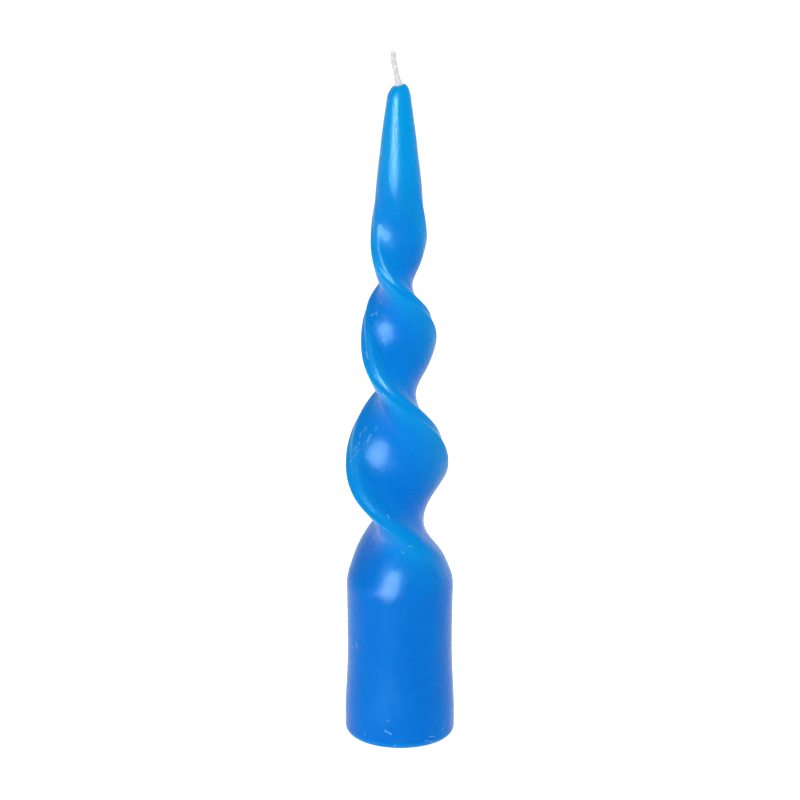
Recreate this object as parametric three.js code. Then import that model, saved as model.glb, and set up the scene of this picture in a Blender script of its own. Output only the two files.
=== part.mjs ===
// Twisted dinner candle: a cotton wick, a core of undyed wax on it, and a dipped coat of blue wax.
// Millimetres and degrees. Z is up, the foot stands on Z = 0 and the axis of the round stub is Z.
// Above its round stub the candle is rolled flat and twisted by hand, a left-handed turn that closes up
// as the candle thins, and at the tip it is round again.
import * as THREE from 'three';

// Round stub, from the foot up
const FOOT_RADIUS = 15.5;
const FOOT_CORNER_RADIUS = 1.7;
const FOOT_SWELL_HEIGHT = 8;
const WAIST_RADIUS = 14.85;
const WAIST_HEIGHT = 26;
const SHOULDER_RADIUS = 15.1;
const SHOULDER_HEIGHT = 46.3;

// Twisted blade. At each neck its edge faces the front, and at each belly its broad side does, a quarter
// turn further up. The turn starts inside the stub, and each rise is measured from the place before.
const TURN_START_HEIGHT = 22.7;
const FIRST_NECK_RISE = 39.9;
const FIRST_BELLY_RISE = 18.5;
const SECOND_NECK_RISE = 19.6;
const SECOND_BELLY_RISE = 17.3;
const THIRD_NECK_RISE = 14.2;
const THIRD_BELLY_RISE = 15.3;

// Half the blade's width from edge to edge
const FIRST_NECK_HALF_WIDTH = 15.8;
const FIRST_BELLY_HALF_WIDTH = 14.4;
const SECOND_NECK_HALF_WIDTH = 12.8;
const SECOND_BELLY_HALF_WIDTH = 10.5;
const THIRD_BELLY_HALF_WIDTH = 7.7;

// Half its thickness from face to face. The rolled faces start between the shoulder and the first neck.
const FIRST_FLAT_HALF_THICKNESS = 10.7;
const FIRST_NECK_HALF_THICKNESS = 6.4;
const FIRST_BELLY_HALF_THICKNESS = 5;
const SECOND_NECK_HALF_THICKNESS = 4.85;
const THIRD_NECK_HALF_THICKNESS = 4.3;
const THIRD_BELLY_HALF_THICKNESS = 4.2;

// How far the centre of the hand-made turn wanders to the right
const FIRST_NECK_DRIFT = 0.35;
const FIRST_BELLY_DRIFT = -0.75;
const SECOND_NECK_DRIFT = -0.4;
const SECOND_BELLY_DRIFT = -0.28;
const THIRD_NECK_DRIFT = -0.8;
const TIP_DRIFT = -0.25;

// The turn is a little slow across each belly and quick through each neck, by this angle at most
const NECK_QUICKENING = 8;
// Exponents of the section's cosine and sine, where 1 and 1 give an ellipse: the faces of the blade are
// flatter than that, and its edges are blunt wedges
const FACE_FLATNESS = 0.57;
const EDGE_SHARPNESS = 2;
// How far the ridge of each edge is rolled over to one side, as a share of the half thickness
const RIDGE_OFFSET = 0.22;
// How closely that roll keeps to the edge, as a power of the section's cosine
const RIDGE_NARROWNESS = 5;
// Ratio of thickness to width below which the section is all blade, and above which it turns round
const BLADE_FLATNESS = 0.5;

// Round tip above the blade, with a bulge where the flat ends
const TIP_BULGE_RISE = 13;
const TIP_BULGE_RADIUS = 6.5;
const TIP_BULGE_HALF_THICKNESS = 6;
const TIP_BASE_RISE = 12.9;
const TIP_BASE_RADIUS = 4.9;
const TIP_LENGTH = 15.4;
const TIP_END_RADIUS = 2.8;
const TIP_ROUNDING_LENGTH = 3.3;
const TIP_RIM_WIDTH = 0.3;

// Coat and core
const COAT_THICKNESS = 1.2;
const COAT_CLEARANCE = 0.3;
const COAT_TRIM_HEIGHT = 0.3;
const COAT_DEPTH_AT_TIP = 4;

// Wick, a flat plait, which leaves the tip along the axis and then leans to the left
const WICK_WIDTH = 1.6;
const WICK_THICKNESS = 1.2;
const WICK_CLEARANCE = 0.3;
const WICK_RECESS = 0.4;
const WICK_STANDING_LENGTH = 9.4;
const WICK_LEAN = 10.5;

// Facets
const WAX_SIDES = 28;
const WICK_SIDES = 10;
const CORNER_RINGS = 4;
const STUB_RINGS = 5;
const RINGS_PER_QUARTER = 7;
const TIP_RINGS = 3;
const ROUNDING_RINGS = 4;
const WICK_RING_SPACING = 5;

const { clamp, degToRad, lerp } = THREE.MathUtils;
const UP = new THREE.Vector3(0, 0, 1);

// Smooth curve through [height, value] points that never swings past them, and stays level beyond its ends
function curveThrough(points) {
  const spans = points.slice(1).map(([height], i) => height - points[i][0]);
  const slopes = points.slice(1).map(([, value], i) => (value - points[i][1]) / spans[i]);
  const tangents = points.map((_, i) => {
    if (i === 0) return slopes[0];
    if (i === slopes.length) return slopes[i - 1];
    if (slopes[i - 1] * slopes[i] <= 0) return 0;
    const below = 2 * spans[i] + spans[i - 1];
    const above = spans[i] + 2 * spans[i - 1];
    return (below + above) / (below / slopes[i - 1] + above / slopes[i]);
  });
  return (height) => {
    const found = points.findLastIndex(([start]) => start <= height);
    const i = clamp(found, 0, spans.length - 1);
    const t = clamp((height - points[i][0]) / spans[i], 0, 1);
    const fromBelow = points[i][1] * (1 + 2 * t) + tangents[i] * spans[i] * t;
    const fromAbove = points[i + 1][1] * (3 - 2 * t) - tangents[i + 1] * spans[i] * (1 - t);
    return fromBelow * (1 - t) ** 2 + fromAbove * t ** 2;
  };
}

// Evenly spaced heights from start up to, but without, end
function heightsBetween(start, end, count) {
  return Array.from({ length: count }, (_, i) => start + ((end - start) * i) / count);
}

// Heights of the blade and the tip, each from the one before
const firstNeck = TURN_START_HEIGHT + FIRST_NECK_RISE;
const firstBelly = firstNeck + FIRST_BELLY_RISE;
const secondNeck = firstBelly + SECOND_NECK_RISE;
const secondBelly = secondNeck + SECOND_BELLY_RISE;
const thirdNeck = secondBelly + THIRD_NECK_RISE;
const thirdBelly = thirdNeck + THIRD_BELLY_RISE;
const tipBulge = thirdBelly + TIP_BULGE_RISE;
const tipBase = tipBulge + TIP_BASE_RISE;
const candleHeight = tipBase + TIP_LENGTH;
const roundingHeight = candleHeight - TIP_ROUNDING_LENGTH;
const quarterTurns = [
  TURN_START_HEIGHT, firstNeck, firstBelly, secondNeck, secondBelly, thirdNeck, thirdBelly, tipBase,
];

const channelHalfWidth = WICK_WIDTH / 2 + WICK_CLEARANCE;
const channelHalfThickness = WICK_THICKNESS / 2 + WICK_CLEARANCE;
const rimRadius = channelHalfWidth + TIP_RIM_WIDTH;

const halfWidthAt = curveThrough([
  [FOOT_SWELL_HEIGHT, FOOT_RADIUS],
  [WAIST_HEIGHT, WAIST_RADIUS],
  [SHOULDER_HEIGHT, SHOULDER_RADIUS],
  [firstNeck, FIRST_NECK_HALF_WIDTH],
  [firstBelly, FIRST_BELLY_HALF_WIDTH],
  [secondNeck, SECOND_NECK_HALF_WIDTH],
  [secondBelly, SECOND_BELLY_HALF_WIDTH],
  [thirdBelly, THIRD_BELLY_HALF_WIDTH],
  [tipBulge, TIP_BULGE_RADIUS],
  [tipBase, TIP_BASE_RADIUS],
  [candleHeight, TIP_END_RADIUS],
]);

const halfThicknessAt = curveThrough([
  [SHOULDER_HEIGHT, SHOULDER_RADIUS],
  [(SHOULDER_HEIGHT + firstNeck) / 2, FIRST_FLAT_HALF_THICKNESS],
  [firstNeck, FIRST_NECK_HALF_THICKNESS],
  [firstBelly, FIRST_BELLY_HALF_THICKNESS],
  [secondNeck, SECOND_NECK_HALF_THICKNESS],
  [thirdNeck, THIRD_NECK_HALF_THICKNESS],
  [thirdBelly, THIRD_BELLY_HALF_THICKNESS],
  [tipBulge, TIP_BULGE_HALF_THICKNESS],
  [tipBase, TIP_BASE_RADIUS],
]);

const driftAt = curveThrough([
  [0, 0],
  [SHOULDER_HEIGHT, 0],
  [firstNeck, FIRST_NECK_DRIFT],
  [firstBelly, FIRST_BELLY_DRIFT],
  [secondNeck, SECOND_NECK_DRIFT],
  [secondBelly, SECOND_BELLY_DRIFT],
  [thirdNeck, THIRD_NECK_DRIFT],
  [thirdBelly, TIP_DRIFT],
  [candleHeight, TIP_DRIFT],
]);

// Turn of the blade about Z, in radians: half a turn where it starts, and a quarter less at each next place
const steadyTurnAt = curveThrough(
  quarterTurns.map((height, i) => [height, Math.PI - (Math.PI / 2) * i]),
);

function turnAt(height) {
  const turn = steadyTurnAt(height);
  return turn - degToRad(NECK_QUICKENING) * Math.sin(2 * turn);
}

// How far the round corner of the foot draws the coat in at a height
function cornerDepthAt(height) {
  const below = Math.max(0, FOOT_CORNER_RADIUS - height);
  return FOOT_CORNER_RADIUS - Math.sqrt(FOOT_CORNER_RADIUS ** 2 - below ** 2);
}

// Half width and half thickness of the candle at a height, before the foot's corner and the tip's rounding
function bladeSizeAt(height) {
  const halfWidth = halfWidthAt(height);
  const isRound = height <= SHOULDER_HEIGHT || height >= tipBase;
  const halfThickness = isRound ? halfWidth : Math.min(halfWidth, halfThicknessAt(height));
  return [halfWidth, halfThickness];
}

// Outside of the coat: the blade, its foot corner, and its tip drawn in to the rim round the wick
function coatSizeAt(height) {
  const climbed = clamp((height - roundingHeight) / TIP_ROUNDING_LENGTH, 0, 1);
  const rounding = Math.sqrt(1 - climbed ** 2);
  const inset = cornerDepthAt(height) + rimRadius;
  return bladeSizeAt(height).map((size) => rimRadius + (size - inset) * rounding);
}

// How far a section is towards the full blade: 0 where it is round, 1 where it is all blade
function flatnessOf([halfWidth, halfThickness]) {
  return clamp((1 - halfThickness / halfWidth) / (1 - BLADE_FLATNESS), 0, 1);
}

// How far the blade's ridges are rolled over at a height, the same for skins inside one another
function rollAt(height) {
  const blade = bladeSizeAt(height);
  return RIDGE_OFFSET * flatnessOf(blade) * blade[1];
}

// Ring of points round the candle's centre at a height, turned as the blade is there
function ringAt(height, size, sides, roll = 0, shift = 0) {
  const [halfWidth, halfThickness] = size;
  const across = lerp(1, FACE_FLATNESS, flatnessOf(size));
  const through = lerp(1, EDGE_SHARPNESS, flatnessOf(size));
  return Array.from({ length: sides }, (_, i) => {
    const angle = (2 * Math.PI * i) / sides;
    const [cosine, sine] = [Math.cos(angle), Math.sin(angle)];
    const x = halfWidth * Math.sign(cosine) * Math.abs(cosine) ** across;
    const y = halfThickness * Math.sign(sine) * Math.abs(sine) ** through;
    const rolled = y + roll * cosine ** RIDGE_NARROWNESS;
    const point = new THREE.Vector3(x, rolled, height).applyAxisAngle(UP, turnAt(height));
    point.x += driftAt(height) + shift;
    return point;
  });
}

function waxRingAt(height, size) {
  return ringAt(height, size, WAX_SIDES, rollAt(height));
}

// Ring heights of the wax from a height near the foot to one near the tip, closest where the blade turns
function waxHeights(bottom, top) {
  const heights = [
    ...heightsBetween(FOOT_CORNER_RADIUS, TURN_START_HEIGHT, STUB_RINGS),
    ...quarterTurns.slice(1).flatMap((end, i) => heightsBetween(quarterTurns[i], end, RINGS_PER_QUARTER)),
    ...heightsBetween(tipBase, roundingHeight, TIP_RINGS),
  ];
  return [bottom, ...heights.filter((height) => height > bottom && height < top), top];
}

// Heights on the round corner of the foot, by equal angles from where the coat is trimmed
function cornerHeights() {
  const start = Math.acos(1 - COAT_TRIM_HEIGHT / FOOT_CORNER_RADIUS);
  const angles = heightsBetween(start, Math.PI / 2, CORNER_RINGS);
  return angles.map((angle) => FOOT_CORNER_RADIUS * (1 - Math.cos(angle)));
}

// Heights on the round end of the tip, by equal angles, with the top itself
function roundingHeights() {
  const angles = heightsBetween(0, Math.PI / 2, ROUNDING_RINGS);
  return [...angles.map((angle) => roundingHeight + TIP_ROUNDING_LENGTH * Math.sin(angle)), candleHeight];
}

// Heights of the rings of the wick and its channel
function wickHeights(bottom, top) {
  return [...heightsBetween(bottom, top, Math.ceil((top - bottom) / WICK_RING_SPACING)), top];
}

// Closed body whose skin runs through rings of points, each joined to the next. The last ring joins the
// first where the body has a hole right through it, and otherwise the two end rings are capped. Each
// four-sided patch is split from its lower corner to its upper one, so that skins inside one another
// stay parallel whichever way their rings run.
function bodyThroughRings(rings, hasHole) {
  const sides = rings[0].length;
  const indices = [];
  const pairs = hasHole ? rings.length : rings.length - 1;
  for (let ring = 0; ring < pairs; ring += 1) {
    const nextRing = (ring + 1) % rings.length;
    const goesDown = rings[nextRing][0].z < rings[ring][0].z;
    for (let side = 0; side < sides; side += 1) {
      const nextSide = (side + 1) % sides;
      const [a, b] = [ring * sides + side, ring * sides + nextSide];
      const [c, d] = [nextRing * sides + nextSide, nextRing * sides + side];
      indices.push(...(goesDown ? [a, b, d, b, c, d] : [a, b, c, a, c, d]));
    }
  }
  if (!hasHole) {
    const top = (rings.length - 1) * sides;
    for (let side = 1; side < sides - 1; side += 1) {
      indices.push(0, side + 1, side);
      indices.push(top, top + side, top + side + 1);
    }
  }
  const geometry = new THREE.BufferGeometry();
  const positions = rings.flat().flatMap((point) => point.toArray());
  geometry.setAttribute('position', new THREE.Float32BufferAttribute(positions, 3));
  geometry.setIndex(indices);
  geometry.computeVertexNormals();
  return geometry;
}

// Blue coat: up the outside to the rim of the tip, down into the mouth round the wick, and back down
// inside over the core
function coatGeometry() {
  const insideTop = candleHeight - COAT_DEPTH_AT_TIP + COAT_CLEARANCE;
  const channel = [channelHalfWidth, channelHalfThickness];
  const outside = [...cornerHeights(), ...waxHeights(FOOT_CORNER_RADIUS, roundingHeight).slice(0, -1)];
  const inside = waxHeights(COAT_TRIM_HEIGHT, insideTop).reverse();
  return bodyThroughRings([
    ...[...outside, ...roundingHeights()].map((height) => waxRingAt(height, coatSizeAt(height))),
    ...[candleHeight, insideTop].map((height) => ringAt(height, channel, WAX_SIDES)),
    ...inside.map((height) => waxRingAt(height, bladeSizeAt(height).map((half) => half - COAT_THICKNESS))),
  ], true);
}

// Undyed core: up its outside, over its flat top and down the wick's channel
function coreGeometry() {
  const top = candleHeight - COAT_DEPTH_AT_TIP;
  const channel = [channelHalfWidth, channelHalfThickness];
  return bodyThroughRings([
    ...waxHeights(0, top).map((height) => {
      const size = bladeSizeAt(height).map((half) => half - COAT_THICKNESS - COAT_CLEARANCE);
      return waxRingAt(height, size);
    }),
    ...wickHeights(0, top).reverse().map((height) => ringAt(height, channel, WAX_SIDES)),
  ], true);
}

// Wick: straight up its channel, and leaning once it is out of the wax
function wickGeometry() {
  const size = [WICK_WIDTH / 2, WICK_THICKNESS / 2];
  const leanAngle = degToRad(WICK_LEAN);
  const wickTop = candleHeight + WICK_STANDING_LENGTH * Math.cos(leanAngle);
  const inside = wickHeights(WICK_RECESS, candleHeight);
  const standing = wickHeights(candleHeight, wickTop).slice(1);
  return bodyThroughRings([...inside, ...standing].map((height) => {
    const shift = -Math.max(0, height - candleHeight) * Math.tan(leanAngle);
    return ringAt(height, size, WICK_SIDES, 0, shift);
  }), false);
}

function namedMesh(name, geometry, color, roughness) {
  const mesh = new THREE.Mesh(geometry, new THREE.MeshStandardMaterial({ color, roughness, metalness: 0 }));
  mesh.name = name;
  return mesh;
}

const candle = new THREE.Group();
candle.add(namedMesh('colour_coat', coatGeometry(), 0x0a84e4, 0.38));
candle.add(namedMesh('wax_core', coreGeometry(), 0xf3efe4, 0.5));
candle.add(namedMesh('wick', wickGeometry(), 0xf1eff0, 0.9));

export default candle;
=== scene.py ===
import math

import bpy
import numpy as np
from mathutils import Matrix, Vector, noise
from mathutils.bvhtree import BVHTree


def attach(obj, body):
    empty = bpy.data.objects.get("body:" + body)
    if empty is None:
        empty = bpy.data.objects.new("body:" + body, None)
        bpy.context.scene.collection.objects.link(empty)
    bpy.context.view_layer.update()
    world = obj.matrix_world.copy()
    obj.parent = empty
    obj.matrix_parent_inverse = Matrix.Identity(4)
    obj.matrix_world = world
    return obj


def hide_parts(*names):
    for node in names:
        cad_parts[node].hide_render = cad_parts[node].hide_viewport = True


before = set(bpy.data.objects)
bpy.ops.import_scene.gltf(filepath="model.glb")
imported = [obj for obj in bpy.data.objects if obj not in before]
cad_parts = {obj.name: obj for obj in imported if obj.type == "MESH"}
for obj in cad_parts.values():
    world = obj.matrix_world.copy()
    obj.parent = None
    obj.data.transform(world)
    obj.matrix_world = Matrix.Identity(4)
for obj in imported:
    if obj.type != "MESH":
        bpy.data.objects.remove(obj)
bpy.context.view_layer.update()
MM = 0.001

# Twisted dinner candle. Lengths are millimetres until a mesh is made, and angles are degrees.

# Camera of the photograph: a long lens, a little above the candle
FRAME_PIXELS = 800
SENSOR_WIDTH = 36
CAMERA_DISTANCE = 1000
CAMERA_RISE = 18
PIXELS_PER_MM = 3.59
AIM_HEIGHT = 99.15
AIM_RIGHT_PIXELS = 0.153
CAMERA_REACH_METRES = 20

# Round stub
FOOT_RADIUS = 15.5
FOOT_CORNER_RADIUS = 1.7
FOOT_SWELL_HEIGHT = 8
WAIST_RADIUS = 14.85
WAIST_HEIGHT = 26
SHOULDER_RADIUS = 15.1
SHOULDER_HEIGHT = 46.3

# Heights of the quarter turns. Each neck has the blade's edge to the front, and each belly its broad side.
TURN_START = 22.7
FIRST_NECK = 62.6
FIRST_BELLY = 81.1
SECOND_NECK = 100.7
SECOND_BELLY = 118.0
THIRD_NECK = 132.2
THIRD_BELLY = 147.5
TIP_BULGE = 160.5
TIP_BASE = 173.4
CANDLE_TOP = 188.8
TIP_ROUNDING_START = 185.5

# Half widths, half thicknesses and sideways drift of the blade and tip
FIRST_NECK_HALF_WIDTH = 15.8
FIRST_BELLY_HALF_WIDTH = 14.4
SECOND_NECK_HALF_WIDTH = 12.8
SECOND_BELLY_HALF_WIDTH = 10.5
THIRD_BELLY_HALF_WIDTH = 7.7
FIRST_FLAT_HALF_THICKNESS = 10.7
FIRST_NECK_HALF_THICKNESS = 6.4
FIRST_BELLY_HALF_THICKNESS = 5
SECOND_NECK_HALF_THICKNESS = 4.85
THIRD_NECK_HALF_THICKNESS = 4.3
THIRD_BELLY_HALF_THICKNESS = 4.2
TIP_BULGE_RADIUS = 6.5
TIP_BULGE_HALF_THICKNESS = 6
TIP_BASE_RADIUS = 4.9
TIP_END_RADIUS = 2.8
FIRST_NECK_DRIFT = 0.35
FIRST_BELLY_DRIFT = -0.75
SECOND_NECK_DRIFT = -0.4
SECOND_BELLY_DRIFT = -0.28
THIRD_NECK_DRIFT = -0.8
TIP_DRIFT = -0.25
NECK_QUICKENING = 8
FACE_FLATNESS = 0.57
EDGE_SHARPNESS = 2
RIDGE_OFFSET = 0.22
RIDGE_NARROWNESS = 5
BLADE_FLATNESS = 0.5

# Coat, core and the mouth round the wick
COAT_THICKNESS = 1.2
COAT_CLEARANCE = 0.3
COAT_TRIM_HEIGHT = 0.3
COAT_DEPTH_AT_TIP = 4
MOUTH_HALF_WIDTH = 1.1
MOUTH_HALF_THICKNESS = 0.9
MOUTH_RIM_WIDTH = 0.3
MOUTH = (MOUTH_HALF_WIDTH, MOUTH_HALF_THICKNESS)
CORE_BEVEL_WIDTH = 0.35
CORE_BEVEL_HEIGHT = 0.14
CORE_WALL_START = 0.35

# Uneven details: the tip's top rises to the right, and the foot's corner is softer on the left
TIP_TOP_SLOPE = 0.2
TIP_TOP_DEPTH = 5
FOOT_CORNER_UNEVENNESS = 0.15

# Wick
WICK_STRAND_RADIUS = 0.47
WICK_SWING = 0.34
WICK_DEPTH = 0.14
WICK_PITCH = 6.6
WICK_RISE = 9.24
WICK_RECESS = 0.4
# How far the wick has strayed to the left at each height above the wax
WICK_STRAY = ((0, 0), (1.4, 0.36), (3.8, 0.8), (6.7, 1.4), (9.24, 1.56))
# Yarns of a strand: their depth as a share of its radius, and their turn in radians for each mm
YARNS = 5
YARN_DEPTH = 0.06
YARN_TURN = 2.6
# Radius of a strand's last ring, as a share, and how much lower each strand ends than the one before
STRAND_END_SHARE = 0.55
STRAND_STEP = 0.25

# Collar of wax round the wick: height above the tip, reach to the left and right, and half depth
COLLAR_SIDES = 48
COLLAR_SHAPE = (
    (-1.2, 0.95, 0.95, 0.72),
    (-0.2, 1.02, 1.04, 0.8),
    (0.05, 1.02, 1.22, 0.86),
    (0.3, 0.98, 1.12, 0.8),
    (0.8, 0.93, 0.98, 0.72),
    (1.4, 0.88, 0.88, 0.66),
    (2.1, 0.83, 0.82, 0.6),
    (2.3, 0.6, 0.6, 0.42),
    (2.35, 0.2, 0.2, 0.15),
)

# Fineness of the meshes
COAT_SIDES = 168
COAT_RING_SPACING = 0.39
CORNER_RINGS = 12
TIP_RINGS = 22
THROAT_RINGS = 6
INSIDE_RING_SPACING = 3.5
CORE_SIDES = 84
OUTLINE_STEPS = 1440
SHORTEST_STEP = 0.05
RIDGE_PASSES = 4
STRAND_SIDES = 20
HIDDEN_STRAND_SPACING = 0.55
SHOWN_STRAND_SPACING = 0.11
# Depth below the wax's top from which the strands are finely modelled
FINE_STRAND_DEPTH = 6

# Distance over which the crease at the stub's shoulder is rounded off
SHOULDER_SOFTNESS = 1.6
# Distance over which the wedge of the blade's edge is rounded off, at each height: less where it is thin
EDGE_ROUNDING = ((46.3, 1.4), (62.6, 1.0), (81.1, 0.6), (100.7, 0.45), (132.2, 0.35), (173.4, 0.4))
# Crest that the twisting has pushed up along one side of each edge. Its height is a share of the half
# thickness, given at each height of the candle. Its place and its reach toward the axis and toward the
# edge are shares of the half width.
CREST_HEIGHT = ((50, 0), (58, 0.1), (66, 0.3), (80, 0.34), (132, 0.34), (150, 0.22), (168, 0))
CREST_PLACE = 0.82
CREST_INNER_REACH = 0.2
CREST_OUTER_REACH = 0.07

# Hand-made unevenness of the coat: depth and length of its swells, which fade out toward its two ends
SWELL_DEPTH = 0.09
SWELL_LENGTH = 13
RIPPLE_DEPTH = 0.035
RIPPLE_LENGTH = 4.5
SWELL_FADE_LENGTH = 3


def curve_through(points):
    """Smooth curve through (height, value) points that never swings past them, level beyond its ends."""
    heights, values = (np.array(column, float) for column in zip(*points))
    spans = np.diff(heights)
    slopes = np.diff(values) / spans
    tangents = np.zeros(len(values))
    tangents[0], tangents[-1] = slopes[0], slopes[-1]
    for i in range(1, len(slopes)):
        if slopes[i - 1] * slopes[i] > 0:
            below = 2 * spans[i] + spans[i - 1]
            above = spans[i] + 2 * spans[i - 1]
            tangents[i] = (below + above) / (below / slopes[i - 1] + above / slopes[i])

    def value_at(height):
        i = int(np.clip(np.searchsorted(heights, height, side="right") - 1, 0, len(spans) - 1))
        t = min(max((height - heights[i]) / spans[i], 0), 1)
        from_below = values[i] * (1 + 2 * t) + tangents[i] * spans[i] * t
        from_above = values[i + 1] * (3 - 2 * t) - tangents[i + 1] * spans[i] * (1 - t)
        return from_below * (1 - t) ** 2 + from_above * t**2

    return value_at


half_width_at = curve_through([
    (FOOT_SWELL_HEIGHT, FOOT_RADIUS),
    (WAIST_HEIGHT, WAIST_RADIUS),
    (SHOULDER_HEIGHT, SHOULDER_RADIUS),
    (FIRST_NECK, FIRST_NECK_HALF_WIDTH),
    (FIRST_BELLY, FIRST_BELLY_HALF_WIDTH),
    (SECOND_NECK, SECOND_NECK_HALF_WIDTH),
    (SECOND_BELLY, SECOND_BELLY_HALF_WIDTH),
    (THIRD_BELLY, THIRD_BELLY_HALF_WIDTH),
    (TIP_BULGE, TIP_BULGE_RADIUS),
    (TIP_BASE, TIP_BASE_RADIUS),
    (CANDLE_TOP, TIP_END_RADIUS),
])
half_thickness_at = curve_through([
    (SHOULDER_HEIGHT, SHOULDER_RADIUS),
    ((SHOULDER_HEIGHT + FIRST_NECK) / 2, FIRST_FLAT_HALF_THICKNESS),
    (FIRST_NECK, FIRST_NECK_HALF_THICKNESS),
    (FIRST_BELLY, FIRST_BELLY_HALF_THICKNESS),
    (SECOND_NECK, SECOND_NECK_HALF_THICKNESS),
    (THIRD_NECK, THIRD_NECK_HALF_THICKNESS),
    (THIRD_BELLY, THIRD_BELLY_HALF_THICKNESS),
    (TIP_BULGE, TIP_BULGE_HALF_THICKNESS),
    (TIP_BASE, TIP_BASE_RADIUS),
])
drift_at = curve_through([
    (0, 0),
    (SHOULDER_HEIGHT, 0),
    (FIRST_NECK, FIRST_NECK_DRIFT),
    (FIRST_BELLY, FIRST_BELLY_DRIFT),
    (SECOND_NECK, SECOND_NECK_DRIFT),
    (SECOND_BELLY, SECOND_BELLY_DRIFT),
    (THIRD_NECK, THIRD_NECK_DRIFT),
    (THIRD_BELLY, TIP_DRIFT),
    (CANDLE_TOP, TIP_DRIFT),
])
QUARTER_TURNS = (
    TURN_START, FIRST_NECK, FIRST_BELLY, SECOND_NECK, SECOND_BELLY, THIRD_NECK, THIRD_BELLY, TIP_BASE,
)
edge_rounding_at = curve_through(EDGE_ROUNDING)
crest_height_at = curve_through(CREST_HEIGHT)
steady_turn_at = curve_through([(height, 180 - 90 * i) for i, height in enumerate(QUARTER_TURNS)])


def turn_at(height):
    """Turn of the blade about Z, in radians."""
    turn = math.radians(steady_turn_at(height))
    return turn - math.radians(NECK_QUICKENING) * math.sin(2 * turn)


def corner_depth(height, radius=FOOT_CORNER_RADIUS):
    """How far a round corner of that radius draws the foot of the coat in."""
    below = np.clip(radius - height, 0, radius)
    return radius - np.sqrt(radius**2 - below**2)


def blade_size(height):
    """Half width and half thickness, before the foot's corner and the tip's rounding."""
    half_width = half_width_at(height)
    if height <= SHOULDER_HEIGHT or height >= TIP_BASE:
        return half_width, half_width
    return half_width, min(half_width, half_thickness_at(height))


def soft_blade_size(height):
    """The blade's size, with the crease at the stub's shoulder rounded off."""
    if abs(height - SHOULDER_HEIGHT) > 3 * SHOULDER_SOFTNESS:
        return blade_size(height)
    # A bell-shaped mean of the sizes just below and above
    steps = np.linspace(-2, 2, 17)
    weights = np.exp(-(steps**2) / 2)
    sizes = np.array([blade_size(height + step * SHOULDER_SOFTNESS) for step in steps])
    return (sizes * weights[:, None]).sum(axis=0) / weights.sum()


def coat_size(height):
    """Outside of the coat, with its foot corner and its tip drawn in to the rim round the wick."""
    climbed = min(max((height - TIP_ROUNDING_START) / (CANDLE_TOP - TIP_ROUNDING_START), 0), 1)
    rounding = math.sqrt(1 - climbed**2)
    rim = MOUTH_HALF_WIDTH + MOUTH_RIM_WIDTH
    return [rim + (size - corner_depth(height) - rim) * rounding for size in soft_blade_size(height)]


def flatness_of(half_width, half_thickness):
    """How far a section is towards the full blade: 0 where it is round, 1 where it is all blade."""
    return min(max((1 - half_thickness / half_width) / (1 - BLADE_FLATNESS), 0), 1)


def roll_at(height):
    """How far the blade's ridges are rolled over at a height."""
    blade = soft_blade_size(height)
    return RIDGE_OFFSET * flatness_of(*blade) * blade[1]


def section(half_width, half_thickness, sides, roll=0.0, crest=0.0, rounding=0.0):
    """Outline of the wax at one height, about its own centre, with its points evenly spread along it.

    The roll tips the two ridges over, the crest stands on one side of each edge, and the rounding blunts
    the edges.
    """
    flatness = flatness_of(half_width, half_thickness)
    across = 1 + (FACE_FLATNESS - 1) * flatness
    through = 1 + (EDGE_SHARPNESS - 1) * flatness
    angle = np.linspace(0, 2 * math.pi, OUTLINE_STEPS + 1)
    cosine, sine = np.cos(angle), np.sin(angle)
    x = half_width * np.sign(cosine) * np.abs(cosine) ** across
    y = half_thickness * np.sign(sine) * np.abs(sine) ** through + roll * cosine**RIDGE_NARROWNESS
    beyond = np.abs(x) / half_width - CREST_PLACE
    swell = np.exp(-((beyond / np.where(beyond > 0, CREST_OUTER_REACH, CREST_INNER_REACH)) ** 2))
    y += np.sign(y) * crest * half_thickness * flatness * swell * (x * y > 0)
    along = np.concatenate([[0], np.cumsum(np.hypot(np.diff(x), np.diff(y)))])
    places = np.arange(sides) * along[-1] / sides
    points = np.stack([np.interp(places, along, x), np.interp(places, along, y)], axis=1)
    for _ in range(round(2 * flatness * (rounding * sides / along[-1]) ** 2)):
        points = (np.roll(points, 1, axis=0) + 2 * points + np.roll(points, -1, axis=0)) / 4
    points[:, 0] *= half_width / np.abs(points[:, 0]).max()
    return points


def ring(height, size, sides, is_wax=True):
    """The section at a height, turned and placed as the blade is there."""
    wax_shape = (roll_at(height), crest_height_at(height), edge_rounding_at(height)) if is_wax else ()
    points = section(*size, sides, *wax_shape)
    cosine, sine = math.cos(turn_at(height)), math.sin(turn_at(height))
    x = points[:, 0] * cosine - points[:, 1] * sine + drift_at(height)
    y = points[:, 0] * sine + points[:, 1] * cosine
    return np.stack([x, y, np.full(sides, height)], axis=1)


def distance_from_axis(points):
    """Distance of each point from the candle's axis, never quite 0."""
    return np.maximum(np.hypot(points[:, :, 0], points[:, :, 1]), 1e-6)


def corner_radius_round(points):
    """Radius of the foot's corner at each side of the candle."""
    toward_right = points[:, :, 0] / distance_from_axis(points)
    return FOOT_CORNER_RADIUS - FOOT_CORNER_UNEVENNESS * toward_right


def uneven_ends(points):
    """Moves points so that the foot's corner is softer on the left and the tip's top rises to the right."""
    moved = points.copy()
    height = points[:, :, 2]
    extra_depth = corner_depth(height, corner_radius_round(points)) - corner_depth(height)
    moved[:, :, :2] *= (1 - extra_depth / distance_from_axis(points))[:, :, None]
    climbed = np.clip((height - CANDLE_TOP + TIP_TOP_DEPTH) / TIP_TOP_DEPTH, 0, 1)
    moved[:, :, 2] += TIP_TOP_SLOPE * (points[:, :, 0] - TIP_DRIFT) * climbed**2 * (3 - 2 * climbed)
    return moved


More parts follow.
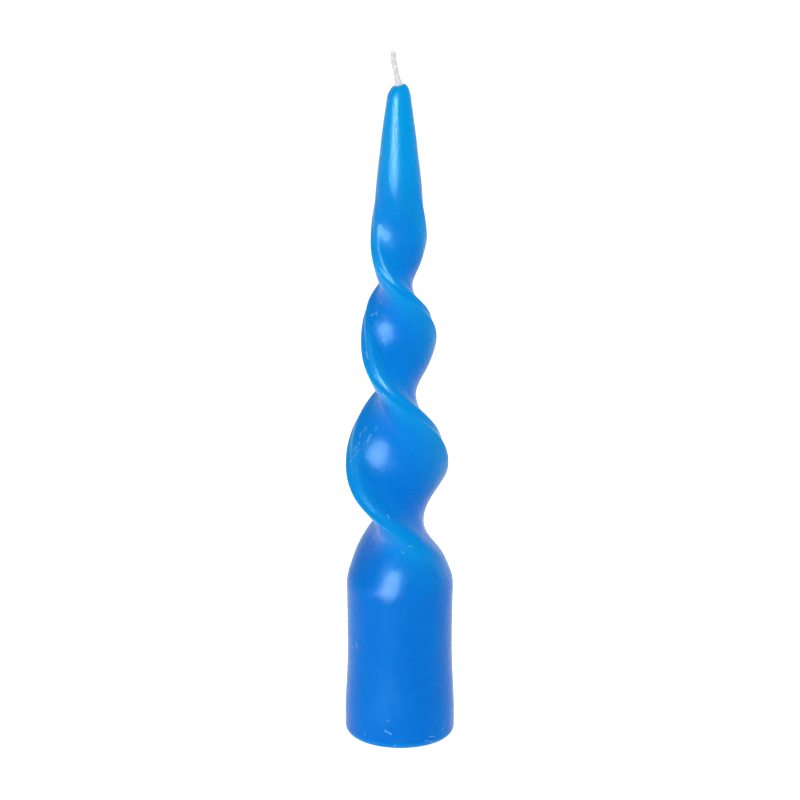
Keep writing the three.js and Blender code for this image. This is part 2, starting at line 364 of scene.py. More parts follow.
def heights_between(start, end, spacing):
    """Even heights from start to end, both included, no further apart than the spacing."""
    return np.linspace(start, end, max(2, math.ceil(abs(end - start) / spacing) + 1))


def grid_normals(points):
    """Unit normals of rings of points that run round and up."""
    around = np.roll(points, -1, axis=1) - np.roll(points, 1, axis=1)
    upward = np.gradient(points, axis=0)
    normals = np.cross(around, upward)
    return normals / np.maximum(np.linalg.norm(normals, axis=2, keepdims=True), 1e-9)


def grid_curvature(points, normals):
    """How strongly the surface bulges at each point, in 1/mm: ridges are positive and hollows negative."""
    bulge = np.zeros(points.shape[:2])
    for axis in (0, 1):
        ahead, behind = np.roll(points, -1, axis=axis), np.roll(points, 1, axis=axis)
        step = np.linalg.norm(ahead - behind, axis=2) / 2
        bend = ahead + behind - 2 * points
        bulge -= (bend * normals).sum(axis=2) / np.maximum(step, SHORTEST_STEP) ** 2
    bulge[:2] = bulge[2]
    bulge[-2:] = bulge[-3]
    return bulge


def smooth_noise(points, length, seed):
    """Smooth noise from -1 to 1 with bumps of about that length."""
    # Each seed reads another part of the same noise
    shift = Vector((seed * 17.3, seed * 5.1, seed * 9.7))
    flat = points.reshape(-1, 3) / length
    values = [noise.noise(Vector(point) + shift) for point in flat]
    return np.array(values).reshape(points.shape[:2])


def vertex_numbers(rings):
    """Number of each vertex of a mesh through those rings, laid out as they are."""
    count, sides = rings.shape[:2]
    return np.arange(count * sides).reshape(count, sides)


def quads_between(below, above):
    """Quads between rings of vertex numbers and the rings that follow them."""
    corners = [below, np.roll(below, -1, axis=1), np.roll(above, -1, axis=1), above]
    return np.stack(corners, axis=2).reshape(-1, 4).tolist()


def make_mesh(name, rings, closed_end_to_end, material, attributes=None):
    """Body through rings of points in mm: a ring-shaped skin, or one with its two ends filled."""
    numbers = vertex_numbers(rings)
    if closed_end_to_end:
        faces = quads_between(numbers, np.roll(numbers, -1, axis=0))
    else:
        faces = quads_between(numbers[:-1], numbers[1:])
        faces += [numbers[0, ::-1].tolist(), numbers[-1].tolist()]
    mesh = bpy.data.meshes.new(name)
    mesh.from_pydata((rings.reshape(-1, 3) * MM).tolist(), [], faces)
    for key, values in (attributes or {}).items():
        attribute = mesh.attributes.new(key, "FLOAT", "POINT")
        attribute.data.foreach_set("value", values.ravel().astype(np.float32))
    mesh.polygons.foreach_set("use_smooth", [True] * len(mesh.polygons))
    mesh.materials.append(material)
    mesh.update()
    piece = bpy.data.objects.new(name, mesh)
    bpy.context.scene.collection.objects.link(piece)
    return piece


def new_material(name):
    """A material with its node tree and its shader."""
    material = bpy.data.materials.new(name)
    material.use_nodes = True
    tree = material.node_tree
    return material, tree, tree.nodes["Principled BSDF"]


def add_node(tree, kind, inputs=(), **settings):
    """A node with settings, whose inputs are given as (socket, value or output) pairs."""
    node = tree.nodes.new(kind)
    for key, value in settings.items():
        setattr(node, key, value)
    for socket, value in inputs:
        if isinstance(value, bpy.types.NodeSocket):
            tree.links.new(value, node.inputs[socket])
        else:
            node.inputs[socket].default_value = value
    return node


def maths(tree, operation, first, second=0.0, clamp=False):
    """Result of a sum on one or two numbers."""
    node = add_node(tree, "ShaderNodeMath", [(0, first), (1, second)], operation=operation, use_clamp=clamp)
    return node.outputs[0]


def vector_maths(tree, operation, *inputs, output="Vector"):
    """Result of a sum on vectors and colours, whose inputs are given in order."""
    node = add_node(tree, "ShaderNodeVectorMath", enumerate(inputs), operation=operation)
    return node.outputs[output]


def scaled(tree, vector, factor):
    """A vector times a number."""
    inputs = [(0, vector), ("Scale", factor)]
    return add_node(tree, "ShaderNodeVectorMath", inputs, operation="SCALE").outputs["Vector"]


def map_range(tree, value, low, high, to_low=0.0, to_high=1.0, smooth=False):
    """A value moved from one range to another, and held within it."""
    inputs = [
        ("Value", value),
        ("From Min", low),
        ("From Max", high),
        ("To Min", to_low),
        ("To Max", to_high),
    ]
    kind = "SMOOTHSTEP" if smooth else "LINEAR"
    return add_node(tree, "ShaderNodeMapRange", inputs, interpolation_type=kind).outputs["Result"]


def mix_colour(tree, share, first, second):
    """The first colour with a share of the second over it."""
    inputs = [(0, share), (6, first), (7, second)]
    return add_node(tree, "ShaderNodeMix", inputs, data_type="RGBA").outputs[2]


def noise_value(tree, place, length, detail=2.0, roughness=0.5):
    """Noise from about 0 to 1 over a place in mm, with bumps of about that length."""
    inputs = [("Vector", place), ("Scale", 1 / length), ("Detail", detail), ("Roughness", roughness)]
    return add_node(tree, "ShaderNodeTexNoise", inputs).outputs["Fac"]


def place_in_mm(tree):
    """Place on the object that is shaded, in mm."""
    return scaled(tree, add_node(tree, "ShaderNodeTexCoord").outputs["Object"], 1 / MM)


def add_relief(tree, shader, height):
    """Gives a shader's surface a fine relief of that height in mm."""
    inputs = [("Strength", 1.0), ("Distance", MM), ("Height", height)]
    bump = add_node(tree, "ShaderNodeBump", inputs)
    tree.links.new(bump.outputs["Normal"], shader.inputs["Normal"])


# Colours of the blue wax
WAX_BLUE = (0.0, 0.19, 0.765, 1)
# Paler blue for clouds and for painted light on ridges, at the tip and at the blade's edges; deeper blue in
# hollows, partly a thicker coat and partly painted shade
PALE_CLOUD_AND_PAINTED_LIGHT_BLUE = (0.0, 0.38, 0.90, 1)
DEEP_AND_PAINTED_SHADE_BLUE = (0.0, 0.13, 0.66, 1)
BLOOM_BLUE = (0.04, 0.34, 0.84, 1)
MARK_BLUE = (0.22, 0.55, 0.98, 1)
# Greatest share of the other colours over the plain one: on ridges, partly painted light, in hollows, partly
# painted shade, in clouds, in the pale bloom and on scratches
RIDGE_SHARE = 0.5
HOLLOW_SHARE = 0.6
CLOUD_SHARE = 0.12
BLOOM_SHARE = 0.10
MARK_SHARE = 0.6
# Bulge of the surface, in 1/mm, at which a ridge or hollow begins to show in the colour, and shows fully
RIDGE_BULGE = (0.1, 0.6)
HOLLOW_BULGE = (-0.02, -0.25)
# Sizes of the unevenness in its colour and its surface
CLOUD_LENGTH = 9.0
MOTTLE_LENGTH = 1.6
GRAIN_LENGTH = 0.4
PORE_LENGTH = 1.3
# Gloss of the blue wax: its roughness, how far that falls and rises in patches, and what specks and
# scratches add to it
WAX_IOR = 1.45
WAX_ROUGHNESS = 0.23
PATCH_FALL = 0.04
PATCH_RISE = 0.05
SPECKLE_ROUGHNESS = 0.08
MARK_ROUGHNESS = 0.15
WAX_SPECULAR_LEVEL = 0.16
WAX_SPECULAR_TINT = (0.4, 0.46, 0.16, 1)
# Depths of its fine relief
GRAIN_BUMP = 0.055
PORE_BUMP = 0.13
MARK_BUMP = 0.05

# Painted light at each height, for light that shines through the thinner wax: none in the stub, most at the
# tip
PAINTED_LIGHT_BY_HEIGHT = ((0, 0), (62, 0.02), (84, 0.16), (136, 0.18), (150, 0.3), (158, 0.46), (168, 0.82), (188.8, 1))
# How much more painted light there is at the thin edges of the blade
EDGE_PAINTED_LIGHT = 0.62

# Undyed wax: its colours, its mottling and roughness, how far light spreads in it, and the stretch,
# width and depth of the knife's marks across the foot
PALE_WAX = (0.88, 0.85, 0.77, 1)
DULL_WAX = (0.80, 0.76, 0.67, 1)
WHITE_WAX_MOTTLE_LENGTH = 3.0
WHITE_WAX_ROUGHNESS = (0.42, 0.55)
WHITE_WAX_SCATTER = 0.15
WHITE_WAX_SCATTER_COLOUR = (1.0, 0.7, 0.4)
WHITE_WAX_SCATTER_REACH = 1.5
KNIFE_STRETCH = (0.12, 1.6, 1.0)
KNIFE_MARK_WIDTH = 0.9
KNIFE_BUMP = 0.07

# Cotton, with the stretch of its fibres along the wick and their depth
# The darker cotton colour is painted shade in the hollows between the fibres
COTTON_HOLLOW_SHADE = (0.77, 0.75, 0.81, 1)
COTTON_FIBRE = (0.88, 0.86, 0.91, 1)
COTTON_ROUGHNESS = 0.62
COTTON_SPECULAR_LEVEL = 0.06
FIBRE_STRETCH = (9.0, 9.0, 1.4)
FIBRE_BUMP = 0.02

# Wobble of the scratches: how far it goes, and how many waves there are in a mm
SCRATCH_WOBBLE = 0.9
SCRATCH_WAVES = 2.2
# Distances, in widths of a scratch, out to which it is full and at which it ends
SCRATCH_FULL = 0.2
SCRATCH_END = 0.9

# Scratches and chips: start and end in pixels of the photograph, and width in mm
SCRATCHES = (
    ((354.0, 451.0), (359.4, 442.0), 0.30),
    ((350.5, 461.7), (354.6, 455.7), 0.30),
    ((354.6, 455.7), (358.8, 449.8), 0.30),
    ((367.1, 442.0), (370.7, 434.9), 0.42),
    ((360.0, 436.7), (360.8, 433.2), 0.34),
    ((363.6, 431.9), (366.5, 427.1), 0.22),
    ((374.9, 430.7), (377.3, 426.0), 0.22),
    ((381.4, 290.5), (384.2, 298.0), 0.30),
    ((380.4, 303.0), (381.4, 300.0), 0.36),
    ((371.5, 315.0), (377.0, 312.5), 0.34),
    ((376.5, 311.5), (377.3, 315.5), 0.30),
    ((366.0, 352.0), (367.8, 358.5), 0.46),
    ((387.4, 515.0), (388.8, 518.0), 0.34),
    ((408.5, 546.0), (412.4, 546.8), 0.30),
    ((401.5, 552.0), (403.6, 553.0), 0.40),
    ((371.9, 534.9), (373.6, 537.6), 0.34),
    ((359.4, 548.6), (364.8, 542.6), 0.38),
    ((356.0, 643.5), (357.4, 648.0), 0.40),
    ((352.8, 648.0), (353.8, 646.0), 0.30),
    ((385.0, 731.0), (391.0, 733.6), 0.46),
    ((386.7, 720.7), (389.0, 720.9), 0.28),
    ((364.2, 733.4), (365.3, 735.2), 0.30),
    ((428.0, 736.8), (434.5, 736.4), 0.26),
    ((425.2, 740.4), (433.5, 741.9), 0.30),
    ((394.6, 745.6), (396.0, 745.8), 0.46),
    ((442.2, 728.6), (443.0, 729.2), 0.30),
)


def camera_frame():
    """Place and axes of the camera, in mm: where it is, and the directions to its right, up and ahead."""
    rise = math.radians(CAMERA_RISE)
    place = Vector((0, -CAMERA_DISTANCE * math.cos(rise), AIM_HEIGHT + CAMERA_DISTANCE * math.sin(rise)))
    right = Vector((1, 0, 0))
    ahead = (Vector((0, 0, AIM_HEIGHT)) - place).normalized()
    return place, right, right.cross(ahead), ahead


def point_under_pixel(tree, x, y):
    """Point of a surface, in mm, that the photograph shows at a pixel."""
    place, right, up, ahead = camera_frame()
    focal = PIXELS_PER_MM * CAMERA_DISTANCE
    middle = FRAME_PIXELS / 2
    ray = ahead * focal + right * (x - middle + AIM_RIGHT_PIXELS) + up * (middle - y)
    hit = tree.ray_cast(place, ray.normalized())[0]
    if hit is None:
        raise ValueError(f"no wax at pixel {x}, {y}")
    return hit


def distance_to_line(tree, place, first, last):
    """Distance of a place from the line between two points."""
    run = last - first
    offset = vector_maths(tree, "SUBTRACT", place, tuple(first))
    share = vector_maths(tree, "DOT_PRODUCT", offset, tuple(run / run.length_squared), output="Value")
    nearest = scaled(tree, tuple(run), maths(tree, "ADD", share, clamp=True))
    return vector_maths(tree, "DISTANCE", offset, nearest, output="Value")


def scratch_mask(tree, place, surface):
    """1 on the scratches and chips, 0 away from them."""
    inputs = [("Vector", place), ("Scale", SCRATCH_WAVES), ("Detail", 2.0)]
    waves = add_node(tree, "ShaderNodeTexNoise", inputs).outputs["Color"]
    centred = vector_maths(tree, "SUBTRACT", waves, (0.5, 0.5, 0.5))
    shifted = vector_maths(tree, "MULTIPLY_ADD", centred, (SCRATCH_WOBBLE,) * 3, place)
    mask = 0.0
    for start, end, width in SCRATCHES:
        first, last = point_under_pixel(surface, *start), point_under_pixel(surface, *end)
        gap = distance_to_line(tree, shifted, first, last)
        here = map_range(tree, gap, width * SCRATCH_END, width * SCRATCH_FULL, smooth=True)
        mask = maths(tree, "MAXIMUM", here, mask)
    return mask


def blue_wax_colour(tree, place, clouds, marks):
    """Paler on ridges, towards the tip and at the blade's edges, deeper in hollows, with clouds, bloom and
    scratches: the paleness is painted light, on ridges also a thinner coat, and the depth in hollows is
    partly a thicker coat and partly painted shade.
    """
    ridge = add_node(tree, "ShaderNodeAttribute", attribute_name="ridge").outputs["Fac"]
    painted_light = add_node(tree, "ShaderNodeAttribute", attribute_name="painted_light").outputs["Fac"]
    mottle = noise_value(tree, place, MOTTLE_LENGTH, detail=3.0, roughness=0.6)
    ridge_light = map_range(tree, ridge, *RIDGE_BULGE, 0.0, RIDGE_SHARE, smooth=True)
    hollow_shade = map_range(tree, ridge, *HOLLOW_BULGE, smooth=True)
    cloudy = map_range(tree, clouds, 0.35, 0.7, 0.0, CLOUD_SHARE)
    bloom = map_range(tree, mottle, 0.45, 0.75, 0.0, BLOOM_SHARE)
    # Painted light: paler on ridges, up towards the tip and at the blade's edges
    colour = mix_colour(tree, maths(tree, "MAXIMUM", ridge_light, painted_light), WAX_BLUE, PALE_CLOUD_AND_PAINTED_LIGHT_BLUE)
    # Painted shade, together with a thicker coat: deeper in hollows
    colour = mix_colour(tree, maths(tree, "MULTIPLY", hollow_shade, HOLLOW_SHARE), colour, DEEP_AND_PAINTED_SHADE_BLUE)
    colour = mix_colour(tree, cloudy, colour, PALE_CLOUD_AND_PAINTED_LIGHT_BLUE)
    colour = mix_colour(tree, bloom, colour, BLOOM_BLUE)
    return mix_colour(tree, maths(tree, "MULTIPLY", marks, MARK_SHARE), colour, MARK_BLUE)


def blue_wax_roughness(tree, clouds, grain, marks):
    """Satin, a little rougher in patches, in specks and on scratches."""
    patchy = map_range(tree, clouds, 0.3, 0.7, WAX_ROUGHNESS - PATCH_FALL, WAX_ROUGHNESS + PATCH_RISE)
    specks = map_range(tree, grain, 0.42, 0.58, 0.0, SPECKLE_ROUGHNESS)
    scratched = maths(tree, "MULTIPLY", marks, MARK_ROUGHNESS)
    return maths(tree, "ADD", maths(tree, "ADD", patchy, specks), scratched)


def blue_wax_relief(tree, place, grain, marks):
    """Height in mm of grain and pores, with the scratches cut into them."""
    pores = noise_value(tree, place, PORE_LENGTH, detail=2.0)
    grainy = maths(tree, "MULTIPLY", grain, GRAIN_BUMP)
    porous = maths(tree, "MULTIPLY", pores, PORE_BUMP)
    cut = maths(tree, "MULTIPLY", marks, MARK_BUMP)
    return maths(tree, "SUBTRACT", maths(tree, "ADD", grainy, porous), cut)


def blue_wax(surface):
    """Dipped blue wax: paler over the ridges, partly where it runs thin and partly as painted light, finely
    grained, with light scratches.
    """
    material, tree, shader = new_material("blue_wax")
    place = place_in_mm(tree)
    marks = scratch_mask(tree, place, surface)
    clouds = noise_value(tree, place, CLOUD_LENGTH, detail=3.0)
    grain = noise_value(tree, place, GRAIN_LENGTH, detail=1.5)
    tree.links.new(blue_wax_colour(tree, place, clouds, marks), shader.inputs["Base Color"])
    tree.links.new(blue_wax_roughness(tree, clouds, grain, marks), shader.inputs["Roughness"])
    add_relief(tree, shader, blue_wax_relief(tree, place, grain, marks))
    shader.inputs["IOR"].default_value = WAX_IOR
    shader.inputs["Specular IOR Level"].default_value = WAX_SPECULAR_LEVEL
    shader.inputs["Specular Tint"].default_value = WAX_SPECULAR_TINT
    return material


def white_wax():
    """Undyed wax, faintly mottled, with the marks of the knife that trimmed the foot."""
    material, tree, shader = new_material("white_wax")
    place = place_in_mm(tree)
    mottle = noise_value(tree, place, WHITE_WAX_MOTTLE_LENGTH, detail=4.0, roughness=0.6)
    colour = mix_colour(tree, map_range(tree, mottle, 0.3, 0.7), PALE_WAX, DULL_WAX)
    tree.links.new(colour, shader.inputs["Base Color"])
    roughness = map_range(tree, mottle, 0.3, 0.7, *WHITE_WAX_ROUGHNESS)
    tree.links.new(roughness, shader.inputs["Roughness"])
    stretched = vector_maths(tree, "MULTIPLY", place, KNIFE_STRETCH)
    cuts = noise_value(tree, stretched, KNIFE_MARK_WIDTH, detail=4.0)
    add_relief(tree, shader, maths(tree, "MULTIPLY", cuts, KNIFE_BUMP))
    shader.inputs["Subsurface Weight"].default_value = WHITE_WAX_SCATTER
    shader.inputs["Subsurface Radius"].default_value = WHITE_WAX_SCATTER_COLOUR
    shader.inputs["Subsurface Scale"].default_value = WHITE_WAX_SCATTER_REACH * MM
    return material


def cotton():
    """Bleached cotton primed with wax: fine fibres along the strands under a thin waxy film, with painted
    shade in the hollows between them.
    """
    material, tree, shader = new_material("cotton_wick")
    stretched = vector_maths(tree, "MULTIPLY", place_in_mm(tree), FIBRE_STRETCH)
    fibres = noise_value(tree, stretched, 1.0, detail=3.0, roughness=0.65)
    # Painted shade: darker where the fibres' relief is low
    colour = mix_colour(tree, map_range(tree, fibres, 0.3, 0.7), COTTON_HOLLOW_SHADE, COTTON_FIBRE)
    tree.links.new(colour, shader.inputs["Base Color"])
    shader.inputs["Roughness"].default_value = COTTON_ROUGHNESS
    shader.inputs["Specular IOR Level"].default_value = COTTON_SPECULAR_LEVEL
    add_relief(tree, shader, maths(tree, "MULTIPLY", fibres, FIBRE_BUMP))
    return material


def coat_heights():
    """Heights of the rings up the outside of the coat, closer together round its corner and its tip."""
    corner_start = math.degrees(math.acos(1 - COAT_TRIM_HEIGHT / FOOT_CORNER_RADIUS))
    corner = [
        FOOT_CORNER_RADIUS * (1 - math.cos(math.radians(angle)))
        for angle in np.linspace(corner_start, 90, CORNER_RINGS)
    ]
    wall = heights_between(FOOT_CORNER_RADIUS, TIP_ROUNDING_START, COAT_RING_SPACING)[1:]
    tip_height = CANDLE_TOP - TIP_ROUNDING_START
    tip = [
        TIP_ROUNDING_START + tip_height * math.sin(math.radians(angle))
        for angle in np.linspace(0, 90, TIP_RINGS)[1:]
    ]
    return [*corner, *wall, *tip]


def coat_outside():
    """Rings up the outside of the coat, with the unevenness of wax that was dipped and rolled by hand."""
    heights = coat_heights()
    outside = uneven_ends(np.array([ring(height, coat_size(height), COAT_SIDES) for height in heights]))
    normals = grid_normals(outside)
    swell = smooth_noise(outside, SWELL_LENGTH, 1) * SWELL_DEPTH
    ripple = smooth_noise(outside, RIPPLE_LENGTH, 2) * RIPPLE_DEPTH
    from_ends = np.array([min(height - COAT_TRIM_HEIGHT, CANDLE_TOP - height) for height in heights])
    fade = np.clip(from_ends / SWELL_FADE_LENGTH, 0, 1)
    return outside + normals * ((swell + ripple) * fade[:, None])[:, :, None]


def coat_inside():
    """Rings of the coat into its mouth and down its inside to the foot."""
    inside_top = CANDLE_TOP - COAT_DEPTH_AT_TIP + COAT_CLEARANCE
    throat = uneven_ends(np.array([
        ring(height, MOUTH, COAT_SIDES, is_wax=False)
        for height in np.linspace(CANDLE_TOP, inside_top, THROAT_RINGS)
    ]))
    inner = [
        ring(height, [size - COAT_THICKNESS for size in blade_size(height)], COAT_SIDES)
        for height in heights_between(inside_top, COAT_TRIM_HEIGHT, INSIDE_RING_SPACING)
    ]
    return np.array([*throat, *inner])


painted_light_at = curve_through(PAINTED_LIGHT_BY_HEIGHT)


def painted_light_over_coat(rings):
    """Painted light at each point, for light that shines through thin wax: most at the tip and at the
    blade's edges.
    """
    painted_light = np.zeros(rings.shape[:2])
    for i, points in enumerate(rings):
        height = points[:, 2].mean()
        half_width, half_thickness = soft_blade_size(height)
        cosine, sine = math.cos(turn_at(height)), math.sin(turn_at(height))
        across = (points[:, 0] - drift_at(height)) * cosine + points[:, 1] * sine
        edge = flatness_of(half_width, half_thickness) * (across / half_width) ** 2
        painted_light[i] = painted_light_at(height) + EDGE_PAINTED_LIGHT * edge
    return np.clip(painted_light, 0, 1)


def ridge_of(outside, hidden):
    """How strongly the coat bulges at each point, evened out: 0 on the rings that nobody sees."""
    ridge = np.concatenate([grid_curvature(outside, grid_normals(outside)), np.zeros(hidden.shape[:2])])
    for _ in range(RIDGE_PASSES):
        ridge = (np.roll(ridge, 1, axis=1) + 2 * ridge + np.roll(ridge, -1, axis=1)) / 4
        ridge[1:-1] = (ridge[:-2] + 2 * ridge[1:-1] + ridge[2:]) / 4
    return ridge


def make_coat():
    """Blue coat in one loop: up its outside, into the mouth, down its inside and under the foot."""
    outside, hidden = coat_outside(), coat_inside()
    numbers = vertex_numbers(outside)
    skin = outside.reshape(-1, 3).tolist()
    surface = BVHTree.FromPolygons(skin, quads_between(numbers[:-1], numbers[1:]))
    rings = np.concatenate([outside, hidden])
    # Per vertex: the bulge, and the painted light towards the tip and at the blade's edges
    attributes = {"ridge": ridge_of(outside, hidden), "painted_light": painted_light_over_coat(rings)}
    coat = make_mesh("blue_wax_coat", rings, True, blue_wax(surface), attributes)
    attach(coat, "root")
    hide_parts("colour_coat")
    return coat


def make_core(material):
    """Undyed core: up its outside, over its flat top, and down the wick's channel."""
    inset = COAT_THICKNESS + COAT_CLEARANCE
    top = CANDLE_TOP - COAT_DEPTH_AT_TIP
    rings = [ring(0, [size - inset - CORE_BEVEL_WIDTH for size in blade_size(0)], CORE_SIDES)]
    wall = heights_between(CORE_WALL_START, top, INSIDE_RING_SPACING / 2)
    rings += [
        ring(height, [size - inset for size in blade_size(height)], CORE_SIDES)
        for height in [CORE_BEVEL_HEIGHT, *wall]
    ]
    rings += [
        ring(height, MOUTH, CORE_SIDES, is_wax=False)
        for height in heights_between(top, 0, 2 * INSIDE_RING_SPACING)
    ]
    core = make_mesh("white_wax_core", np.array(rings), True, material)
    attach(core, "root")
    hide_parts("wax_core")
    return core


wick_stray_at = curve_through(WICK_STRAY)


def wick_path(height):
    """Centre of the wick at a height: along the axis inside the candle, and leaning to the left above it."""
    return np.array([TIP_DRIFT - wick_stray_at(max(0, height - CANDLE_TOP)), 0, height])


def strand_rings(centres):
    """Rings round a strand's path, each square to it, with the lobes of its twisted yarns."""
    centres = np.array(centres)
    tangents = np.gradient(centres, axis=0)
    tangents /= np.linalg.norm(tangents, axis=1, keepdims=True)
    side = np.cross(tangents, [0.0, 1.0, 0.0])
    side /= np.linalg.norm(side, axis=1, keepdims=True)
    other = np.cross(tangents, side)
    run = np.concatenate([[0], np.cumsum(np.linalg.norm(np.diff(centres, axis=0), axis=1))])
    angle = np.linspace(0, 2 * math.pi, STRAND_SIDES, endpoint=False)
    lobes = np.cos(YARNS * angle[None, :] + YARN_TURN * run[:, None])
    reach = WICK_STRAND_RADIUS * (1 + YARN_DEPTH * lobes)
    reach[0] *= STRAND_END_SHARE
    reach[-1] *= STRAND_END_SHARE
    cosine, sine = np.cos(angle)[None, :, None], np.sin(angle)[None, :, None]
    return centres[:, None, :] + reach[:, :, None] * (cosine * side[:, None, :] + sine * other[:, None, :])


def strand_centres(index, bottom, top, spacing):
    """Path of one of the three strands of the flat plait."""
    centres = []
    for height in heights_between(bottom, top, spacing):
        phase = 2 * math.pi * (height / WICK_PITCH + index / 3)
        sway = [WICK_SWING * math.sin(phase), WICK_DEPTH * math.sin(2 * phase), 0]
        centres.append(wick_path(height) + np.array(sway))
    return centres


def join(name, pieces):
    """One object of several separate bodies."""
    with bpy.context.temp_override(active_object=pieces[0], selected_editable_objects=pieces):
        bpy.ops.object.join()
    pieces[0].name = name
    pieces[0].data.name = name
    return pieces[0]


def make_wick(material):
    """Three strands of the plait, which run from the foot through the candle and lean once out of it."""
    top = CANDLE_TOP + WICK_RISE
    fine_start = CANDLE_TOP - FINE_STRAND_DEPTH
    strands = []
    for index in range(3):
        hidden = strand_centres(index, WICK_RECESS, fine_start, HIDDEN_STRAND_SPACING)
        shown = strand_centres(index, fine_start, top - STRAND_STEP * index, SHOWN_STRAND_SPACING)[1:]
        strands.append(make_mesh(f"strand_{index}", strand_rings(hidden + shown), False, material))
    wick = join("plaited_wick", strands)
    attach(wick, "root")
    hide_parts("wick")
    return wick


def make_collar(material):
    """Undyed wax that has crept up the wick out of the tip's mouth, with a wider foot on its right side."""
    angle = np.linspace(0, 2 * math.pi, COLLAR_SIDES, endpoint=False)
    rings = []
    for rise, left, right, depth in COLLAR_SHAPE:
        centre = wick_path(CANDLE_TOP + rise)
        reach = np.where(np.cos(angle) > 0, right, left)
        x = centre[0] + reach * np.cos(angle)
        z = centre[2] + TIP_TOP_SLOPE * reach * np.cos(angle)
        rings.append(np.stack([x, centre[1] + depth * np.sin(angle), z], axis=1))
    collar = make_mesh("wick_wax_collar", np.array(rings), False, material)
    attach(collar, "root")
    return collar


# Light and surroundings: lamps as azimuth from the front, elevation, distance, width, height and power,
# with their lengths in metres
WORLD_LIGHT = 0.12
LAMPS = {
    "front": (12, -1, 0.9, 0.8, 0.15, 3.5),
    "top_right": (66, 58, 1.3, 0.9, 0.9, 7.8),
    "left": (-70, 0, 1.1, 0.8, 0.2, 6.0),
}
# Panel that only the gloss shows. It glows fully out to a share of its half size, and then fades.
PANEL_AZIMUTH = -29
PANEL_ELEVATION = 8
PANEL_DISTANCE = 1.3
PANEL_WIDTH = 1.15
PANEL_HEIGHT = 0.8
PANEL_GLOW = 96
PANEL_FULL_SHARE = 0.3
# Floor: its size in metres, and how far it lies below the foot in mm
FLOOR_SIZE = 6
FLOOR_DROP = 0.2
FLOOR_GLOW = 0.94
FLOOR_ROUGHNESS = 0.9
FLOOR_COLOUR = (0.75, 0.75, 0.75, 1)
BLACK = (0, 0, 0, 1)
WHITE = (1, 1, 1, 1)


def surroundings_seen(tree):
    """1 for the camera and for what gloss and glass show, and 0 for the light that falls on things."""
    path = add_node(tree, "ShaderNodeLightPath")
    seen = maths(tree, "MAXIMUM", path.outputs["Is Camera Ray"], path.outputs["Is Glossy Ray"])
    return maths(tree, "MAXIMUM", seen, path.outputs["Is Transmission Ray"])


def make_world():
    """Dim world for what falls on things, and a white one for what the camera and the gloss see."""
    world = bpy.data.worlds.new("white_studio")
    world.use_nodes = True
    bpy.context.scene.world = world
    tree = world.node_tree
    background = tree.nodes["Background"]
    background.inputs["Color"].default_value = WHITE
    strength = map_range(tree, surroundings_seen(tree), 0.0, 1.0, WORLD_LIGHT, 1.0)
    tree.links.new(strength, background.inputs["Strength"])


def make_rectangle(name, width, height, material):
    """Flat rectangle about its own origin, facing up, that isn't in the scene yet."""
    x, y = width / 2, height / 2
    mesh = bpy.data.meshes.new(name)
    mesh.from_pydata([(-x, -y, 0), (x, -y, 0), (x, y, 0), (-x, y, 0)], [], [(0, 1, 2, 3)])
    mesh.materials.append(material)
    return bpy.data.objects.new(name, mesh)


def make_floor():
    """Plain pale floor that glows a little for the camera, so that it is white and still takes a shadow."""
    material, tree, shader = new_material("pale_floor")
    shader.inputs["Base Color"].default_value = FLOOR_COLOUR
    shader.inputs["Roughness"].default_value = FLOOR_ROUGHNESS
    shader.inputs["Specular IOR Level"].default_value = 0.0
    shader.inputs["Emission Color"].default_value = WHITE
    glow = maths(tree, "MULTIPLY", surroundings_seen(tree), FLOOR_GLOW)
    tree.links.new(glow, shader.inputs["Emission Strength"])
    floor = make_rectangle("floor", FLOOR_SIZE, FLOOR_SIZE, material)
    floor.location.z = -FLOOR_DROP * MM
    bpy.context.scene.collection.objects.link(floor)


def place_lamp(thing, azimuth, elevation, distance):
    """Puts a lamp or panel round the candle and turns it to the candle's middle."""
    azimuth, elevation = math.radians(azimuth), math.radians(elevation)
    level = math.cos(elevation)
    away = Vector((math.sin(azimuth) * level, -math.cos(azimuth) * level, math.sin(elevation)))
    thing.location = Vector((0, 0, AIM_HEIGHT * MM)) + away * distance
    thing.rotation_euler = away.to_track_quat("Z", "Y").to_euler()
    bpy.context.scene.collection.objects.link(thing)


def make_lamp(name, azimuth, elevation, distance, width, height, power):
    """Rectangular lamp that no gloss shows."""
    data = bpy.data.lights.new(name, "AREA")
    data.shape = "RECTANGLE"
    data.size = width
    data.size_y = height
    data.energy = power
    lamp = bpy.data.objects.new(name, data)
    lamp.visible_glossy = False
    place_lamp(lamp, azimuth, elevation, distance)


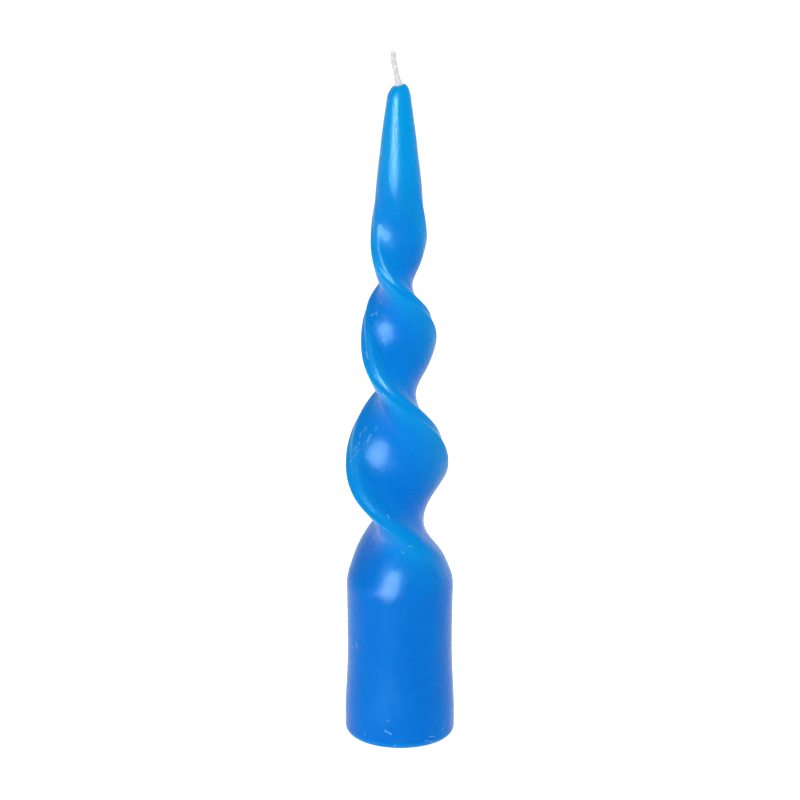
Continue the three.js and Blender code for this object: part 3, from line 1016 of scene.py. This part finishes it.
def panel_glow(tree):
    """Strength of the panel's glow, which fades towards its edges."""
    object_place = add_node(tree, "ShaderNodeTexCoord").outputs["Object"]
    place = add_node(tree, "ShaderNodeSeparateXYZ", [(0, object_place)])
    fade = 1.0
    for socket, size in (("X", PANEL_WIDTH), ("Y", PANEL_HEIGHT)):
        distance = maths(tree, "ABSOLUTE", place.outputs[socket])
        share = map_range(tree, distance, size / 2, PANEL_FULL_SHARE * size / 2, smooth=True)
        fade = maths(tree, "MULTIPLY", share, fade)
    return maths(tree, "MULTIPLY", fade, PANEL_GLOW)


def make_panel():
    """Softbox face to the front left, which shows in the wax's gloss and casts no light of its own."""
    material, tree, shader = new_material("softbox_cloth")
    shader.inputs["Base Color"].default_value = BLACK
    shader.inputs["Specular IOR Level"].default_value = 0.0
    shader.inputs["Emission Color"].default_value = WHITE
    tree.links.new(panel_glow(tree), shader.inputs["Emission Strength"])
    face = make_rectangle("softbox_face", PANEL_WIDTH, PANEL_HEIGHT, material)
    face.visible_camera = False
    face.visible_diffuse = False
    face.visible_shadow = False
    place_lamp(face, PANEL_AZIMUTH, PANEL_ELEVATION, PANEL_DISTANCE)


def make_camera():
    """Camera that sees the candle as the photograph shows it."""
    data = bpy.data.cameras.new("camera")
    data.sensor_width = SENSOR_WIDTH
    data.lens = PIXELS_PER_MM * CAMERA_DISTANCE * SENSOR_WIDTH / FRAME_PIXELS
    data.shift_x = AIM_RIGHT_PIXELS / FRAME_PIXELS
    data.clip_end = CAMERA_REACH_METRES
    camera = bpy.data.objects.new("camera", data)
    place, _, _, ahead = camera_frame()
    camera.location = place * MM
    camera.rotation_euler = ahead.to_track_quat("-Z", "Y").to_euler()
    bpy.context.scene.collection.objects.link(camera)
    bpy.context.scene.camera = camera


make_camera()
make_world()
make_floor()
make_panel()
for lamp_name, settings in LAMPS.items():
    make_lamp(lamp_name, *settings)
primed_cotton = cotton()
make_coat()
make_core(white_wax())
make_wick(primed_cotton)
make_collar(primed_cotton)
bpy.context.scene.view_settings.view_transform = "Standard"
